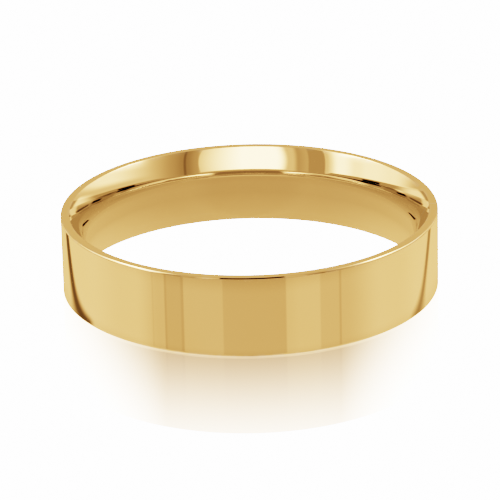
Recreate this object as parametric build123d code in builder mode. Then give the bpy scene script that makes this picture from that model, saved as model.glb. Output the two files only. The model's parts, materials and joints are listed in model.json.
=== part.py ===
from build123d import *

import os

# A plain comfort-fit wedding band. A strip of gold with a flat outside and a rounded inside is bent
# round into a ring, and its two ends are joined by a thin layer of solder that is filed flush.
#
# Sizes are in millimetres. The origin is the centre of the ring, halfway across its width. +Z runs
# along the finger hole, and the soldered joint lies on +X.

# ---- Driving dimensions ----
finger_bore_diameter = 20.6  # at the crest of the rounded inside: US ring size 11
band_width = 5.0  # from rim to rim, along the finger
wall_thickness = 1.3  # from the crest of the inside to the outside face
rim_width = 0.53  # from the mouth of the finger hole to the outside face
crest_land = 0.7  # straight stretch along the crest, between the two curved flanks
outer_edge_radius = 0.13  # rounding between the outside face and each rim
mouth_edge_radius = 0.08  # rounding between each rim and the curved flank inside it
joint_gap = 0.10  # thickness of the solder between the ends of the strip

# ---- Sizes that follow from them ----
crest_radius = finger_bore_diameter / 2
outer_radius = crest_radius + wall_thickness
mouth_radius = outer_radius - rim_width
mid_wall_radius = (crest_radius + outer_radius) / 2
half_width = band_width / 2
half_land = crest_land / 2

# ---- Profiles, on the XZ plane with +X away from the finger ----

# The strip's cross-section: a straight crest, two flanks that curve away from it to the rims, and a
# flat outside, with the four corners rounded.
with BuildSketch(Plane.XZ) as strip_section:
    with BuildLine():
        crest = Line((crest_radius, -half_land), (crest_radius, half_land))
        upper_flank = TangentArc(crest @ 1, (mouth_radius, half_width), tangent=crest % 1)
        outside = Polyline(
            upper_flank @ 1,
            (outer_radius, half_width),
            (outer_radius, -half_width),
            (mouth_radius, -half_width),
        )
        TangentArc(crest @ 0, outside @ 1, tangent=-(crest % 0))
    make_face()
    outside_corners = strip_section.vertices().group_by(Axis.X)[-1]
    fillet(outside_corners, outer_edge_radius)
    mouth_corners = strip_section.vertices().group_by(Axis.X)[1]
    fillet(mouth_corners, mouth_edge_radius)

# The plane of the joint, cut larger than the section so that it clears it on every side.
with BuildSketch(Plane.XZ) as joint_plane:
    with Locations((mid_wall_radius, 0)):
        Rectangle(2 * wall_thickness, 2 * band_width)

# ---- Pieces ----

# The bent strip: a full turn of the section, less the gap between its two parallel ends.
with BuildPart() as band_shank:
    revolve(strip_section.sketch, axis=Axis.Z)
    extrude(joint_plane.sketch, amount=joint_gap / 2, both=True, mode=Mode.SUBTRACT)
band_shank.part.label = "band_shank"

# The solder: the same ring, kept only where it fills that gap, so that it is flush all round.
with BuildPart() as solder_seam:
    revolve(strip_section.sketch, axis=Axis.Z)
    extrude(joint_plane.sketch, amount=joint_gap / 2, both=True, mode=Mode.INTERSECT)
solder_seam.part.label = "solder_seam"

os.makedirs("parts", exist_ok=True)
for piece in (band_shank, solder_seam):
    export_step(piece.part, f"parts/{piece.part.label}.step")
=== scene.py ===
import json
from collections import namedtuple
from math import asin, cos, pi, radians, sin, tau

import bpy
from mathutils import Matrix, Vector


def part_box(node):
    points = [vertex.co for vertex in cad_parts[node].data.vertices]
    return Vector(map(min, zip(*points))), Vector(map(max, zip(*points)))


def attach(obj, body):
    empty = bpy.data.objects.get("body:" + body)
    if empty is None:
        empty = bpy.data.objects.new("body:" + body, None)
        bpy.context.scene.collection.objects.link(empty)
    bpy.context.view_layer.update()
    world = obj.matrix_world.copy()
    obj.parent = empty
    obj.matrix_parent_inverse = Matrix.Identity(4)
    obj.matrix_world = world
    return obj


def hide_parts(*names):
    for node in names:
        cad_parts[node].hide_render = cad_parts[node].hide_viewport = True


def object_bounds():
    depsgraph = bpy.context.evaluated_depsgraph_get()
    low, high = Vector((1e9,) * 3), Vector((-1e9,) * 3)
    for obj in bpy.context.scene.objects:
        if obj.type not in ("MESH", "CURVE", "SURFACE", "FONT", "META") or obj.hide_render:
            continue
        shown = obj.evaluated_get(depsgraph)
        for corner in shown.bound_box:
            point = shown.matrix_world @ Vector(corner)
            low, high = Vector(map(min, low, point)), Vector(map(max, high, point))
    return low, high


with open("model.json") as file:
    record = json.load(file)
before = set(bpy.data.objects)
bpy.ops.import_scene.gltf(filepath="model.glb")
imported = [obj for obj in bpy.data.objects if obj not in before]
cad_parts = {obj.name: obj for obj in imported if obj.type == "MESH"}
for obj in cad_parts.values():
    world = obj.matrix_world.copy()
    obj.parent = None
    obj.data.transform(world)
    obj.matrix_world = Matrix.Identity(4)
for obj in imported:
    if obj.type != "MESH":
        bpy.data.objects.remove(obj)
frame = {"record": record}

cad_low, cad_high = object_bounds()

# ---------------------------------------------------------------- sizes, in metres
MM = 0.001
mounts = {mount["name"]: mount for mount in frame["record"]["mounts"]}
seam_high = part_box("solder_seam")[1]
outer_radius = seam_high.x
half_gap = seam_high.y
half_width = cad_high.z
crest_radius = mounts["finger_bore"]["dims"]["r_mm"] * MM
half_land = mounts["finger_bore"]["dims"]["length_mm"] * MM / 2
rim_width = 0.53 * MM
outer_edge = 0.13 * MM
mouth_edge = 0.08 * MM
mouth_radius = outer_radius - rim_width

# The flank is an arc, tangent to the crest's straight land, that ends at the mouth of the hole.
flank_rise = half_width - half_land
flank_spread = mouth_radius - crest_radius
flank_radius = (flank_rise**2 + flank_spread**2) / (2 * flank_spread)
flank_centre = crest_radius + flank_radius
# The mouth's rounding touches the flank from inside, which fixes where the two meet.
flank_end = asin((flank_rise - mouth_edge) / (flank_radius - mouth_edge))
mouth_centre = flank_centre - (flank_radius - mouth_edge) * cos(flank_end)

# The camera stands on the side of -Y and looks down at the ring's centre, slightly rolled.
VIEW_ELEVATION = radians(21.46)
VIEW_ROLL = 0.0223  # in radians
VIEW_DISTANCE = 20 * outer_radius
SENSOR, LENS = 36, 270.8  # in mm
LENS_SHIFT = -0.0091  # as a share of the picture's side

# ---------------------------------------------------------------- the band's mesh
# How many steps each stretch of the section has. The outside gets as many points as the inside.
EDGE_STEPS = 10
MOUTH_STEPS = 6
FLANK_STEPS = 20
LAND_STEPS = 4
WALL_STEPS = 2 * (MOUTH_STEPS + FLANK_STEPS - EDGE_STEPS) + LAND_STEPS
# How many steps each piece has round the ring.
BAND_STATIONS = 480
SEAM_STATIONS = 2


def arc(centre_r, centre_z, radius, start, end, steps):
    """Points (r, z, normal r, normal z) on an arc, from one direction of its normal to another."""
    directions = [start + (end - start) * step / steps for step in range(steps + 1)]
    return [
        (centre_r + radius * cos(a), centre_z + radius * sin(a), cos(a), sin(a)) for a in directions
    ]


def straight(first, last, steps):
    """The points between two that share a normal, with both ends left out."""
    r0, z0, normal_r, normal_z = first
    r1, z1 = last[:2]
    shares = [step / steps for step in range(1, steps)]
    return [(r0 + (r1 - r0) * s, z0 + (z1 - z0) * s, normal_r, normal_z) for s in shares]


def outside_chain():
    """The section's outside from the lower rim to the upper rim."""
    centre_r, centre_z = outer_radius - outer_edge, half_width - outer_edge
    lower = arc(centre_r, -centre_z, outer_edge, -pi / 2, 0, EDGE_STEPS)
    upper = arc(centre_r, centre_z, outer_edge, 0, pi / 2, EDGE_STEPS)
    return lower + straight(lower[-1], upper[0], WALL_STEPS) + upper


def inside_chain():
    """The section's inside from the lower rim to the upper rim, with as many points as the outside."""
    centre_z = half_width - mouth_edge
    lower_turn, upper_turn = pi + flank_end, pi - flank_end
    lower_mouth = arc(mouth_centre, -centre_z, mouth_edge, 3 * pi / 2, lower_turn, MOUTH_STEPS)
    lower_flank = arc(flank_centre, -half_land, flank_radius, lower_turn, pi, FLANK_STEPS)
    upper_flank = arc(flank_centre, half_land, flank_radius, pi, upper_turn, FLANK_STEPS)
    upper_mouth = arc(mouth_centre, centre_z, mouth_edge, upper_turn, pi / 2, MOUTH_STEPS)
    land = straight(lower_flank[-1], upper_flank[0], LAND_STEPS)
    return lower_mouth + lower_flank[1:] + land + upper_flank + upper_mouth[1:]


def swept_points(loop, place, stations):
    """The section's points and normals at each station round the ring."""
    points, normals = [], []
    for station in range(stations + 1):
        for r, z, normal_r, normal_z in loop:
            angle = place(r, station / stations)
            points.append((r * cos(angle), r * sin(angle), z))
            normals.append(Vector((normal_r * cos(angle), normal_r * sin(angle), normal_z)))
    return points, normals


def wall_faces(count, stations):
    """Quads that join each station's points to the next station's."""
    faces = []
    for station in range(stations):
        here, there = station * count, (station + 1) * count
        for i in range(count):
            j = (i + 1) % count
            faces.append((here + i, there + i, there + j, here + j))
    return faces


def cap_faces(count, stations):
    """Quads that close the first and the last station, each between two points on the section's
    outside and the two across from them on its inside."""
    last = stations * count
    faces = []
    for i in range(count // 2 - 1):
        corners = (i, i + 1, count - 2 - i, count - 1 - i)
        faces.append(corners)
        faces.append(tuple(last + corner for corner in reversed(corners)))
    return faces


def add_object(name, points, faces):
    mesh = bpy.data.meshes.new(name)
    mesh.from_pydata(points, [], faces)
    mesh.update()
    thing = bpy.data.objects.new(name, mesh)
    bpy.context.scene.collection.objects.link(thing)
    return thing


def swept_section(name, place, stations):
    """A closed piece made by carrying the section through stations 0..n, with quad end caps.
    place(r, share) gives the angle round the ring of a point at radius r."""
    loop = outside_chain() + inside_chain()[::-1]
    points, normals = swept_points(loop, place, stations)
    walls = wall_faces(len(loop), stations)
    piece = add_object(name, points, walls + cap_faces(len(loop), stations))
    piece.data.shade_smooth()
    corner_normals = []
    for index, face in enumerate(piece.data.polygons):
        on_wall = index < len(walls)
        for vertex in face.vertices:
            corner_normals.append(normals[vertex] if on_wall else face.normal.copy())
    piece.data.normals_split_custom_set(corner_normals)
    return piece


def shank_angle(r, share):
    start = asin(half_gap / r)
    return start + (tau - 2 * start) * share


def seam_angle(r, share):
    end = asin(half_gap / r)
    return end * (2 * share - 1)


# ---------------------------------------------------------------- node trees
class Graph:
    """Short calls that build one node tree. A value is a number, a colour or another node's socket."""

    def __init__(self, owner):
        owner.use_nodes = True
        self.tree = owner.node_tree
        self.tree.nodes.clear()

    def node(self, kind, inputs=(), **settings):
        """A new node with its settings made and its inputs, by name, set or joined."""
        node = self.tree.nodes.new(kind)
        for name, value in settings.items():
            setattr(node, name, value)
        for name, value in dict(inputs).items():
            self.join(value, node.inputs[name])
        return node

    def join(self, value, socket):
        if isinstance(value, bpy.types.NodeSocket):
            self.tree.links.new(value, socket)
        else:
            socket.default_value = value

    def joined(self, kind, *values, **settings):
        """The first output of a new node whose inputs are set or joined in their own order."""
        node = self.node(kind, **settings)
        for value, socket in zip(values, node.inputs):
            self.join(value, socket)
        return node.outputs[0]

    # ---- numbers
    def maths(self, operation, *values):
        return self.joined("ShaderNodeMath", *values, operation=operation)

    def product(self, *values):
        total = values[0]
        for value in values[1:]:
            total = self.maths("MULTIPLY", total, value)
        return total

    def add(self, light, strength, *masks):
        """light + strength x the product of the masks."""
        return self.maths("MULTIPLY_ADD", self.product(*masks), strength, light)

    def dimmed(self, light, share):
        """The light less a share of it."""
        return self.product(light, self.maths("SUBTRACT", 1.0, share))

    def apart(self, first, second):
        return self.maths("ABSOLUTE", self.maths("SUBTRACT", first, second))

    def past(self, value, start):
        """How far a value is past a start, or 0 before it."""
        return self.maths("MAXIMUM", self.maths("SUBTRACT", value, start), 0.0)

    def distance(self, x, y):
        return self.maths("SQRT", self.maths("MULTIPLY_ADD", x, x, self.product(y, y)))

    def mix(self, factor, first, second):
        """Blends two numbers."""
        inputs = {"Factor": factor, "A": first, "B": second}
        return self.node("ShaderNodeMix", inputs).outputs["Result"]

    # ---- steps and edges
    def smooth(self, value, start, end):
        """0 before start, 1 after end, and a smooth rise between them; start may be the larger."""
        inputs = {"Value": value, "From Min": start, "From Max": end}
        return self.node("ShaderNodeMapRange", inputs, interpolation_type="SMOOTHSTEP").outputs["Result"]

    def window(self, value, low, high, soft):
        """1 between low and high, 0 outside, with edges that blur over soft on each side."""
        rise = self.smooth(value, low - soft, low + soft)
        return self.product(rise, self.smooth(value, high + soft, high - soft))

    def staircase(self, value, level, steps):
        """A level that changes at each step (place, softness, level after it)."""
        light = level
        for place, soft, after in steps:
            light = self.add(light, after - level, self.smooth(value, place - soft, place + soft))
            level = after
        return light

    # ---- colours and shaders
    def mix_colour(self, factor, first, second):
        node = self.node("ShaderNodeMix", {"Factor": factor}, data_type="RGBA")
        colour_inputs = [socket for socket in node.inputs if socket.type == "RGBA"]
        self.join(first, colour_inputs[0])
        self.join(second, colour_inputs[1])
        return [socket for socket in node.outputs if socket.type == "RGBA"][0]

    def noise(self, vector, size, detail):
        inputs = {"Vector": vector, "Scale": 1 / size, "Detail": detail}
        return self.node("ShaderNodeTexNoise", inputs).outputs[0]

    def mix_shader(self, factor, first, second):
        return self.joined("ShaderNodeMixShader", factor, first, second)

    def emission(self, strength):
        return self.node("ShaderNodeEmission", {"Strength": strength}).outputs[0]

    def surface(self, shader):
        self.node("ShaderNodeOutputMaterial", {"Surface": shader})

    # ---- how the light got here
    def reflections(self):
        """How many times the light has been reflected on its way here."""
        return self.node("ShaderNodeLightPath").outputs["Glossy Depth"]

    def seen_in_floor(self):
        """1 for what the floor's mirror shows, whether directly or in the gold that it shows."""
        path = self.node("ShaderNodeLightPath").outputs
        return self.product(path["Is Glossy Ray"], path["Is Singular Ray"])

    def seen_in_gold(self):
        """1 for all that gold reflects, 0 for what the camera or the floor's mirror sees directly."""
        direct = self.product(self.seen_in_floor(), self.smooth(self.reflections(), 1.8, 1.2))
        glossy = self.node("ShaderNodeLightPath").outputs["Is Glossy Ray"]
        return self.maths("SUBTRACT", glossy, direct)

    def again(self):
        """1 for what the gold reflects a second time and later, 0 for its first reflections."""
        clear = self.maths("SUBTRACT", 1.0, self.seen_in_floor())
        return self.product(self.smooth(self.reflections(), 1.2, 1.8), clear)

    def seen_twice(self):
        """1 for what two reflections in gold bring, 0 for one reflection or for three and more."""
        return self.product(self.again(), self.smooth(self.reflections(), 2.8, 2.2))

    # ---- directions
    def separate(self, vector):
        return self.node("ShaderNodeSeparateXYZ", {"Vector": vector}).outputs

    def bearings(self, direction):
        """Azimuth, with 0 towards the camera and +90 at +X, and elevation of a direction, in degrees."""
        x, y, z = self.separate(direction)
        azimuth = self.maths("DEGREES", self.maths("ARCTAN2", x, self.maths("MULTIPLY", y, -1.0)))
        return azimuth, self.maths("DEGREES", self.maths("ARCSINE", z))

    def facing(self, direction):
        """The bearing, in degrees, of the upright wall that mirrors a direction to the camera."""
        x, y, _ = self.separate(direction)
        forwards = self.maths("SUBTRACT", cos(VIEW_ELEVATION), y)
        return self.maths("DEGREES", self.maths("ARCTAN2", x, forwards))


# ---------------------------------------------------------------- gold
# The polishing lines, and the sizes of the patches where the metal is touched, worn or deeper in colour.
LINE_WIDTH = 0.03 * MM
LINE_LENGTH = 2.5 * MM
LINE_DEPTH = 2e-9
TOUCH_SIZE = 3.0 * MM
WORN_SIZE = 0.6 * MM
DEEPER_SIZE = 5.0 * MM
# The levels of noise between which a patch begins and is full.
TOUCHED = (0.45, 0.75)
WORN = (0.42, 0.62)
# What each adds to the roughness.
LINE_HAZE = 0.014
TOUCH_HAZE = 0.012
WORN_HAZE = 0.035
# The colours of a second reflection and of later ones, and the glow in place of the fourth.
SECOND_GREY = (0.8, 0.8, 0.8, 1)
LATER_GREY = (0.97, 0.97, 0.97, 1)
DEEP_GLOW = 0.45


def polishing_lines(graph, x, y, radius, height):
    """Noise drawn out round the ring, so that it runs along the polishing."""
    across = graph.maths("DIVIDE", graph.maths("ADD", height, radius), LINE_WIDTH)
    along = graph.node("ShaderNodeCombineXYZ", {"Z": across})
    graph.join(graph.maths("DIVIDE", x, LINE_LENGTH), along.inputs["X"])
    graph.join(graph.maths("DIVIDE", y, LINE_LENGTH), along.inputs["Y"])
    return graph.noise(along.outputs[0], 1.0, 2.0)


def edge_zone(graph, radius, height):
    """1 on the four rounded edges of the section."""
    outer = graph.smooth(radius, outer_radius - 0.18 * MM, outer_radius - 0.08 * MM)
    mouth = graph.smooth(radius, mouth_radius + 0.12 * MM, mouth_radius + 0.04 * MM)
    end = graph.smooth(height, half_width - 0.20 * MM, half_width - 0.08 * MM)
    return graph.product(graph.maths("MAXIMUM", outer, mouth), end)


def metal_roughness(graph, haze, lines, touched, worn):
    roughness = graph.add(haze, LINE_HAZE, lines)
    roughness = graph.add(roughness, TOUCH_HAZE, touched)
    roughness = graph.add(roughness, WORN_HAZE, worn)
    # in the floor's mirror the gold has no haze, by which the studio knows that view of it
    return graph.dimmed(roughness, graph.seen_in_floor())


def metal_colour(graph, tint, position, worn):
    """The tint, with deeper patches and paler worn edges. A second reflection is grey instead, since
    the first has coloured it already."""
    deep = tuple(channel * share for channel, share in zip(tint, (0.99, 0.96, 0.90)))
    pale = tuple(channel + 0.08 * (1 - channel) for channel in tint)
    colour = graph.mix_colour(graph.noise(position, DEEPER_SIZE, 2.0), (*tint, 1), (*deep, 1))
    colour = graph.mix_colour(graph.product(worn, 0.5), colour, (*pale, 1))
    later = graph.smooth(graph.reflections(), 1.2, 1.8)
    grey = graph.mix_colour(later, SECOND_GREY, LATER_GREY)
    return graph.mix_colour(graph.seen_in_gold(), colour, grey)


def polished_metal(name, tint, haze):
    """Mirror-polished metal: fine lines run round it, touched places are hazier and its edges are worn.
    After three reflections an even glow takes over."""
    metal = bpy.data.materials.new(name)
    graph = Graph(metal)
    position = graph.node("ShaderNodeTexCoord").outputs["Object"]
    x, y, z = graph.separate(position)
    radius = graph.distance(x, y)
    height = graph.maths("ABSOLUTE", z)
    lines = polishing_lines(graph, x, y, radius, height)
    touched = graph.smooth(graph.noise(position, TOUCH_SIZE, 3.0), *TOUCHED)
    patches = graph.smooth(graph.noise(position, WORN_SIZE, 4.0), *WORN)
    worn = graph.product(edge_zone(graph, radius, height), patches)

    bump = {"Strength": 1.0, "Distance": LINE_DEPTH, "Height": lines}
    looks = {
        "Color": metal_colour(graph, tint, position, worn),
        "Roughness": metal_roughness(graph, haze, lines, touched, worn),
        "Normal": graph.node("ShaderNodeBump", bump).outputs[0],
    }
    mirror = graph.node("ShaderNodeBsdfGlossy", looks).outputs[0]
    many = graph.smooth(graph.reflections(), 2.2, 2.8)
    graph.surface(graph.mix_shader(many, mirror, graph.emission(DEEP_GLOW)))
    return metal


# ---------------------------------------------------------------- studio
# Brightness is radiance. Steps are (azimuth or elevation in degrees, softness, brightness after it).
PALE = 9.0
HORIZON = 0.40

# What the gold sees of the floor outside the ring, from azimuth -180 round to +180: painted stripes of
# light and shade on the floor, which the wall reflects.
PAINTED_FLOOR_REAR = 0.45
PAINTED_FLOOR_STEPS = (
    (-170, 4, 1.10),
    (-100, 15, 0.98),
    (-66, 9, 0.76),
    (-62.5, 0.4, 0.68),
    (-61.5, 0.5, 0.74),
    (-53.9, 0.4, 0.56),
    (-52.5, 0.5, 0.63),
    (-43.2, 0.6, 0.55),
    (-41.4, 0.5, 0.73),
    (-17.1, 0.5, 0.62),
    (21, 0.6, 0.80),
    (26, 4, 0.85),
    (42.3, 0.6, 0.72),
    (54.8, 0.5, 0.59),
    (56.2, 0.5, 0.73),
    (72, 15, 1.00),
    (112, 12, 1.10),
    (172, 4, PAINTED_FLOOR_REAR),
)


def flagged(graph, light, azimuth, elevation, flags):
    """The light with dark flags on both sides, which only a second reflection meets. A flag is
    (azimuth from, to, softness, elevation from, to, softness, how the elevations rise with the
    azimuth on both sides, how they rise from one side to the other, depth)."""
    sideways = graph.maths("ABSOLUTE", azimuth)
    for start, end, side_soft, low, high, soft, slant, tilt, depth in flags:
        aside = graph.maths("SUBTRACT", sideways, (start + end) / 2)
        level = graph.add(elevation, -slant, aside)
        level = graph.add(level, -tilt, azimuth)
        across = graph.window(sideways, start, end, side_soft)
        flag = graph.product(across, graph.window(level, low, high, soft))
        light = graph.dimmed(light, graph.product(flag, graph.seen_twice(), depth))
    return light


# ---------------------------------------------------------------- floor
FLOOR_RADIUS = 0.3
FLOOR_SIDES = 96
FLOOR_DROP = 0.01 * MM  # keeps the floor just clear of the lower rim

# Inside the ring, painted light on the floor's painted shade: what is added to the horizon's light
# straight down, at the back and at the sides.
INNER_DOWN_GAIN = 0.21
INNER_REAR_GAIN = 0.33
INNER_SIDE_GAIN = 0.04
# Painted dark flags on the floor inside the ring, which only a second reflection meets.
FLOOR_FLAGS = (
    (104, 127, 2, -24.6, -19.0, 1.2, 0.33, 0.019, 0.97),
    (140, 200, 6, -20.0, -5.0, 2, 0.0, 0.0, 0.5),
)

# Outside it: where painted shade makes the floor dimmer, far from the wall and right by it, where it is
# a painted contact shadow, and by how much.
FAR_SHADE_RANGE = (outer_radius + 9.3 * MM, outer_radius + 14 * MM)
FAR_SHADE_LOSS = 0.32
CONTACT_SHADOW_RANGE = (outer_radius + 1.2 * MM, outer_radius)
CONTACT_SHADOW_LOSS = 0.10

# The painted dark lines on the floor, which the wall reflects as dark stripes, leave the ring at its
# front corners and run backwards as shallow arcs.
# A line is (centre x, centre y, radius, width, softness in mm, depth).
PAINTED_DARK_LINES = (
    (30.0, 26.2, 51.4, 0.85, 0.35, 0.86),
    (-12.9, 19.8, 34.45, 0.60, 0.30, 0.66),
)
SIDE_LINE_START = (-7.3 * MM, -6.2 * MM)
SIDE_LINE_WIDENING = (-3 * MM, 7 * MM)
SIDE_LINE_GAIN = 0.3 * MM  # what the widening adds to half the width

# How much of the red, green and blue of the floor's mirror is veiled at the ring's wall, and how fast
# the veil closes away from it, both outwards and to the sides of the view.
VEIL = (0.055, 0.037, 0.024)
VEIL_REACH = 5.0 * MM
VEIL_SIDE = 5.5 * MM
VEIL_SIDE_REACH = 2.0 * MM


def inner_floor(graph, azimuth, elevation):
    """Inside the ring the floor glows dim and plain with painted shade, and painted light makes it a
    little brighter when seen from above or behind.
    """
    depth = graph.maths("MAXIMUM", graph.maths("DIVIDE", elevation, -85.0), 0.0)
    light = graph.add(HORIZON, INNER_DOWN_GAIN, graph.maths("POWER", depth, 0.6))
    sideways = graph.maths("ABSOLUTE", azimuth)
    rear = graph.product(graph.smooth(sideways, 50, 170), graph.smooth(elevation, -82, -35))
    light = graph.add(light, INNER_REAR_GAIN, rear, graph.smooth(elevation, -8, -30))
    light = graph.add(light, INNER_SIDE_GAIN, graph.smooth(sideways, 22, 45))
    return flagged(graph, light, azimuth, elevation, FLOOR_FLAGS)


# One painted dark line on the floor: a soft band along an arc, on one side of the ring only.
def painted_dark_line(graph, x, y, line):
    centre_x, centre_y, radius, width, soft = [length * MM for length in line[:5]]
    depth = line[5]
    distance = graph.distance(
        graph.maths("SUBTRACT", x, centre_x), graph.maths("SUBTRACT", y, centre_y)
    )
    half = graph.add(width / 2, SIDE_LINE_GAIN, graph.smooth(y, *SIDE_LINE_WIDENING))
    off = graph.maths("SUBTRACT", graph.apart(distance, radius), half)
    band = graph.smooth(off, soft, -soft)
    own_side = graph.smooth(graph.product(x, -centre_x), 0.0, 1e-6)
    return graph.product(band, own_side, graph.smooth(y, *SIDE_LINE_START), depth)


def outer_floor(graph, azimuth, elevation, x, y, radius):
    """Outside the ring the floor glows with painted stripes of light and shade, which show on its wall,
    and two painted dark lines. Painted shade makes it dimmer far away, and a little right by the wall as
    a painted contact shadow."""
    light = graph.staircase(azimuth, PAINTED_FLOOR_REAR, PAINTED_FLOOR_STEPS)
    # painted shade: dimmer far from the wall, and a painted contact shadow right by it
    light = graph.product(light, graph.add(1.0, -FAR_SHADE_LOSS, graph.smooth(radius, *FAR_SHADE_RANGE)))
    light = graph.product(light, graph.add(1.0, -CONTACT_SHADOW_LOSS, graph.smooth(radius, *CONTACT_SHADOW_RANGE)))
    dark = graph.maths("MAXIMUM", *[painted_dark_line(graph, x, y, line) for line in PAINTED_DARK_LINES])
    # the painted dark lines show only in the directions that the camera sees in the wall, so other views
    # stay plain
    from_sides = graph.window(graph.maths("ABSOLUTE", azimuth), 114, 156, 4)
    dark = graph.product(dark, from_sides, graph.window(elevation, -23.6, -19.4, 0.8))
    return graph.dimmed(light, dark)


def veil_over_floor(graph, x, y, toward, radius, inside):
    """How much of each colour a pale veil hides: all inside the ring, and outside it ever more with
    the distance from the wall and from the middle of the view. Its red closes first and its blue
    last, which keeps the reflection's fade golden."""
    reach = graph.maths("DIVIDE", graph.maths("SUBTRACT", radius, outer_radius), VEIL_REACH)
    toward_x, toward_y, _ = graph.separate(toward)
    moment = graph.apart(graph.product(x, toward_y), graph.product(y, toward_x))
    aside = graph.maths("DIVIDE", moment, graph.distance(toward_x, toward_y))
    aside = graph.maths("DIVIDE", graph.past(aside, VEIL_SIDE), VEIL_SIDE_REACH)
    veil = graph.maths("EXPONENT", graph.maths("ADD", reach, aside))
    colour = graph.node("ShaderNodeCombineXYZ")
    for share, socket in zip(VEIL, colour.inputs):
        closed = graph.maths("MINIMUM", graph.product(veil, share), 1.0)
        graph.join(graph.maths("MAXIMUM", closed, inside), socket)
    return colour.outputs[0]


def pale_mirror(graph, veil):
    """A mirror under a pale veil, given how much of each colour the veil hides."""
    clear = graph.joined("ShaderNodeVectorMath", (1.0, 1.0, 1.0), veil, operation="SUBTRACT")
    mirror = graph.node("ShaderNodeBsdfGlossy", {"Roughness": 0.0, "Color": clear})
    light = graph.node("ShaderNodeEmission", {"Color": veil, "Strength": PALE})
    return graph.joined("ShaderNodeAddShader", mirror.outputs[0], light.outputs[0])


def floor_material():
    """Plain and pale to the camera, with a faint mirror round the ring; to the gold it glows calm and
    dim, with painted light and shade.
    """
    floor = bpy.data.materials.new("floor")
    graph = Graph(floor)
    geometry = graph.node("ShaderNodeNewGeometry").outputs
    toward = geometry["Incoming"]
    away = graph.node("ShaderNodeVectorMath", operation="SCALE")
    graph.join(toward, away.inputs[0])
    graph.join(-1.0, away.inputs["Scale"])
    azimuth, elevation = graph.bearings(away.outputs[0])
    x, y, _ = graph.separate(geometry["Position"])
    radius = graph.distance(x, y)
    inside = graph.smooth(radius, outer_radius - 0.2 * MM, mouth_radius)

    outer = outer_floor(graph, azimuth, elevation, x, y, radius)
    # the gold sees the floor as a glow with painted light and shade
    painted_glow_to_gold = graph.emission(graph.mix(inside, outer, inner_floor(graph, azimuth, elevation)))
    to_camera = pale_mirror(graph, veil_over_floor(graph, x, y, toward, radius, inside))
    graph.surface(graph.mix_shader(graph.seen_in_gold(), to_camera, painted_glow_to_gold))
    return floor


def add_floor():
    turns = [tau * side / FLOOR_SIDES for side in range(FLOOR_SIDES)]
    corners = [(FLOOR_RADIUS * cos(turn), FLOOR_RADIUS * sin(turn), 0) for turn in turns]
    floor = add_object("floor", corners, [tuple(range(FLOOR_SIDES))])
    floor.data.materials.append(floor_material())
    floor.location.z = cad_low.z - FLOOR_DROP
    floor.visible_diffuse = False
    floor.visible_shadow = False


# ---------------------------------------------------------------- front softbox
# The front softbox: a card that leans over the hole, from its low edge to its high edge.
CARD_LEFT, CARD_RIGHT = -7.1 * MM, 9.2 * MM
CARD_LOW = Vector((0, -9.0, 4.1)) * MM
CARD_HIGH = Vector((0, -4.3, 28)) * MM
CARD_LIGHT, CARD_LIGHT_AGAIN = 5.4, 1.4
CARD_EVEN = 0.94 * MM  # it is even up to here, and fades to the right of it
CARD_FADE = 5.0 * MM


def front_card_material():
    """A softbox over the hole: even on its left, fading to the right, and lit on one side only."""
    card = bpy.data.materials.new("front_card")
    graph = Graph(card)
    geometry = graph.node("ShaderNodeNewGeometry").outputs
    x = graph.separate(geometry["Position"])[0]
    fade = graph.maths("EXPONENT", graph.maths("DIVIDE", graph.past(x, CARD_EVEN), -CARD_FADE))
    level = graph.add(CARD_LIGHT, CARD_LIGHT_AGAIN - CARD_LIGHT, graph.again())
    light = graph.product(fade, level)
    left_end = graph.smooth(x, CARD_LEFT, CARD_LEFT + 2.6 * MM)
    right_end = graph.smooth(x, CARD_RIGHT, CARD_RIGHT - 0.4 * MM)
    front = graph.maths("SUBTRACT", 1.0, geometry["Backfacing"])
    cover = graph.product(left_end, right_end, front, graph.seen_in_gold())
    clear = graph.node("ShaderNodeBsdfTransparent").outputs[0]
    graph.surface(graph.mix_shader(cover, clear, graph.emission(light)))
    return card


def add_front_card():
    left, right = Vector((CARD_LEFT, 0, 0)), Vector((CARD_RIGHT, 0, 0))
    corners = [CARD_LOW + right, CARD_LOW + left, CARD_HIGH + left, CARD_HIGH + right]
    card = add_object("front_card", corners, [(0, 1, 2, 3)])
    card.data.materials.append(front_card_material())
    card.visible_camera = False
    card.visible_diffuse = False
    card.visible_shadow = False


# ---------------------------------------------------------------- the world that the gold sees
# What the gold sees above the horizon: a calm overhead, and cards all round. Their azimuth is drawn in
# towards the zenith, since they lean.
LEAN = 0.38
UPPER_REAR = 0.66
CALM = 0.58
UPPER_STEPS = (
    (-122, 14, 2.05),
    (-100, 8, 2.35),
    (-82, 3, 2.05),
    (-71, 5, 3.40),
    (-60, 3.5, 1.30),
    (-56, 1.5, 0.87),
    (-53, 0.7, 0.40),
    (-41, 0.7, 0.56),
    (-37, 4, 0.45),
    (-32, 2.2, 0.85),
    (-22, 4, 0.62),
    (33.5, 1, 0.45),
    (38, 4, 0.31),
    (42.3, 0.6, 0.20),
    (44, 0.6, 0.33),
    (48, 4, 0.42),
    (62, 13, 0.85),
    (145, 15, UPPER_REAR),
)
# What is added higher up on the left card, on the right one and at the right one's top, and by the high
# cards that light the ring's rounded edges on the left and on the right.
LEFT_GAIN = 0.8
RIGHT_GAIN = 1.3
RIGHT_TOP_GAIN = 4.5
LEFT_EDGE_GAIN = 10.0
RIGHT_EDGE_GAIN = 9.0
# What the two low strips at the back add.
STRIP_GAIN = 1.15
# The elevation of the cards' lower edges, in steps of azimuth, and that of the dark slots' tops.
CARD_FOOT, CARD_FOOT_STEPS = 8.3, ((-56, 2, 5.2), (60, 5, 6.6))
SLOT_TOP, SLOT_TOP_STEPS = 6.9, ((0, 1, 5.9),)

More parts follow.
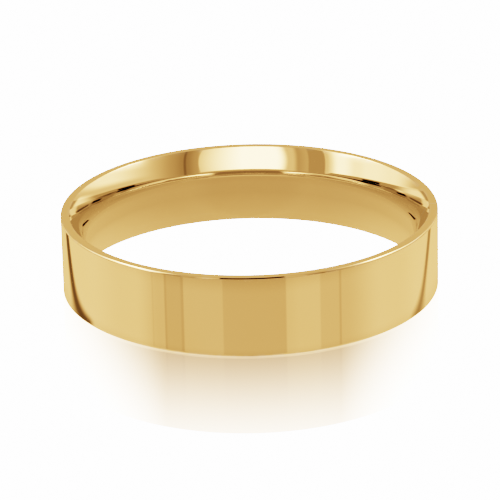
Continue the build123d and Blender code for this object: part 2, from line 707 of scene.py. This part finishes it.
# What a second reflection brings from low down: steps of azimuth away from the camera, the same on both
# sides, with a gain at their top and dark flags. Higher up it brings the cards, less a share.
SECOND_FRONT = 0.52
SECOND_STEPS = (
    (22, 3, 0.36),
    (76, 6, 0.50),
    (114, 5, 1.40),
    (133, 3, 0.31),
)
SECOND_HIGH_GAIN = 0.4
SECOND_LOSS = 0.5
SECOND_FLAGS = (
    (51, 72, 3, 15.5, 27.0, 2, 0.0, 0.0, 1.0),
    (80, 118, 3, 9.5, 16.5, 2, -0.22, 0.0, 0.72),
)

# In the floor's mirror the ring's wall looks as it does above the floor, but darker.
MIRRORED_SHARE = 0.46

# A direction: its azimuth, elevation, azimuth on either side, azimuth drawn in as leaning cards are, and
# the bearing of the wall that mirrors it to the camera.
Bearing = namedtuple("Bearing", "azimuth elevation sideways leaning facing")


def world_bearing(graph):
    direction = graph.node("ShaderNodeTexCoord").outputs["Generated"]
    azimuth, elevation = graph.bearings(direction)
    sideways = graph.maths("ABSOLUTE", azimuth)
    level = graph.maths("COSINE", graph.maths("RADIANS", graph.maths("MINIMUM", elevation, 55.0)))
    leaning = graph.product(azimuth, graph.maths("POWER", level, LEAN))
    return Bearing(azimuth, elevation, sideways, leaning, graph.facing(direction))


def side_cards(graph, at):
    """Upright cards all round. The left one brightens with height, and the right one much more."""
    cards = graph.staircase(at.leaning, UPPER_REAR, UPPER_STEPS)
    left = graph.product(graph.smooth(at.leaning, -60, -80), graph.smooth(at.leaning, -130, -105))
    right = graph.product(graph.smooth(at.leaning, 64, 106), graph.smooth(at.leaning, 148, 112))
    right_top = graph.product(right, graph.smooth(at.elevation, 28, 45))
    cards = graph.add(cards, LEFT_GAIN, left, graph.smooth(at.elevation, 30, 42))
    cards = graph.add(cards, RIGHT_GAIN, right, graph.smooth(at.elevation, 11, 20))
    return graph.add(cards, RIGHT_TOP_GAIN, right_top, graph.smooth(at.facing, 31, 40))


def with_calm(graph, at, cards):
    """The cards give way to an even light overhead and high behind."""
    behind = graph.product(graph.smooth(at.sideways, 118, 135), graph.smooth(at.elevation, 25, 35))
    overhead = graph.smooth(at.elevation, 58, 68)
    return graph.mix(graph.maths("MAXIMUM", behind, overhead), cards, CALM)


def with_edge_cards(graph, at, cards):
    """High cards on both sides light the ring's rounded edges."""
    high = graph.product(graph.smooth(at.elevation, 38, 48), graph.smooth(at.elevation, 60, 54))
    high = graph.product(high, graph.smooth(at.sideways, 132, 114))
    cards = graph.add(cards, LEFT_EDGE_GAIN, graph.smooth(at.facing, -30, -37), high)
    return graph.add(cards, RIGHT_EDGE_GAIN, graph.smooth(at.facing, 35, 42), high)


def with_front_black(graph, at, cards):
    """A black card hangs behind the front softbox. A second reflection sees it wider at its top."""
    narrow = graph.product(
        graph.window(at.facing, -9.4, 10.2, 0.4),
        graph.smooth(at.sideways, 95, 85),
        graph.smooth(at.elevation, 22.5, 24.5),
    )
    rise = graph.past(at.elevation, 26.0)
    wide = graph.smooth(graph.add(at.sideways, -0.7, rise), 20.5, 18.9)
    wide = graph.product(wide, graph.smooth(at.elevation, 24, 32))
    return graph.dimmed(cards, graph.mix(graph.again(), narrow, wide))


def above_horizon(graph, at):
    """The cards down to their lower edges, and the horizon's light below them."""
    cards = side_cards(graph, at)
    cards = with_calm(graph, at, cards)
    cards = with_edge_cards(graph, at, cards)
    cards = with_front_black(graph, at, cards)
    foot = graph.staircase(at.leaning, CARD_FOOT, CARD_FOOT_STEPS)
    above = graph.smooth(graph.maths("SUBTRACT", at.elevation, foot), 0.0, 1.0)
    return graph.mix(above, HORIZON, cards)


def with_strips(graph, at, light):
    """Two bright strips stand low at the back, one on each side, turned a little to the right."""
    start = graph.smooth(graph.apart(at.azimuth, 4.0), 116, 138)
    end = graph.smooth(graph.add(at.sideways, 1.6, at.elevation), 155.5, 151.5)
    return graph.add(light, STRIP_GAIN, start, end, graph.smooth(at.elevation, 11, 7))


def with_second_light(graph, at, light):
    """A second reflection is dimmer and, low down, brings its own light and dark flags."""
    again = graph.again()
    light = graph.product(light, graph.add(1.0, -SECOND_LOSS, again))
    second = graph.staircase(at.sideways, SECOND_FRONT, SECOND_STEPS)
    sides = graph.window(at.sideways, 68, 132, 6)
    second = graph.add(second, SECOND_HIGH_GAIN, sides, graph.smooth(at.elevation, 20, 32))
    low = graph.product(again, graph.smooth(at.elevation, 36, 26))
    light = graph.mix(low, light, second)
    return flagged(graph, light, at.azimuth, at.elevation, SECOND_FLAGS)


def with_slots(graph, at, light):
    """A dark slot stands on the horizon at each side."""
    top = graph.staircase(at.azimuth, SLOT_TOP, SLOT_TOP_STEPS)
    below = graph.smooth(graph.maths("SUBTRACT", at.elevation, top), 0.4, -0.4)
    across = graph.window(at.sideways, 82.5, 98, 1.2)
    return graph.dimmed(light, graph.product(across, below, graph.smooth(at.elevation, -0.5, 0.5)))


def add_world():
    world = bpy.data.worlds.new("studio")
    world.cycles.sampling_method = "NONE"
    bpy.context.scene.world = world
    graph = Graph(world)
    at = world_bearing(graph)
    light = above_horizon(graph, at)
    light = with_strips(graph, at, light)
    light = with_second_light(graph, at, light)
    light = with_slots(graph, at, light)

    wall = graph.staircase(at.azimuth, PAINTED_FLOOR_REAR, PAINTED_FLOOR_STEPS)
    light = graph.mix(graph.seen_in_floor(), light, graph.product(wall, MIRRORED_SHARE))
    strength = graph.mix(graph.seen_in_gold(), PALE, light)
    looks = {"Color": (1, 1, 1, 1), "Strength": strength}
    background = graph.node("ShaderNodeBackground", looks).outputs[0]
    graph.node("ShaderNodeOutputWorld", {"Surface": background})


# ---------------------------------------------------------------- camera
def add_camera():
    back = Vector((0, -cos(VIEW_ELEVATION), sin(VIEW_ELEVATION)))
    right = Vector((1, 0, 0))
    up = back.cross(right)
    rolled_right = right * cos(VIEW_ROLL) - up * sin(VIEW_ROLL)
    rolled_up = right * sin(VIEW_ROLL) + up * cos(VIEW_ROLL)
    turn = Matrix((rolled_right, rolled_up, back)).transposed().to_4x4()
    lens = bpy.data.cameras.new("camera")
    lens.sensor_width = SENSOR
    lens.lens = LENS
    lens.shift_y = LENS_SHIFT
    lens.clip_start = 1 * MM
    camera = bpy.data.objects.new("camera", lens)
    bpy.context.scene.collection.objects.link(camera)
    camera.matrix_world = Matrix.Translation(back * VIEW_DISTANCE) @ turn
    bpy.context.scene.camera = camera
    bpy.context.scene.view_settings.view_transform = "Filmic"
    bpy.context.scene.view_settings.look = "Very High Contrast"


# ---------------------------------------------------------------- the scene
yellow_gold = polished_metal("yellow_gold", tint=(1.0, 0.55, 0.22), haze=0.018)
gold_solder = polished_metal("gold_solder", tint=(0.95, 0.60, 0.30), haze=0.045)

band = swept_section("polished_band", shank_angle, BAND_STATIONS)
band.data.materials.append(yellow_gold)
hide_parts("band_shank")
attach(band, "root")

seam = swept_section("polished_seam", seam_angle, SEAM_STATIONS)
seam.data.materials.append(gold_solder)
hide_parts("solder_seam")
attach(seam, "root")

add_floor()
add_front_card()
add_world()
add_camera()
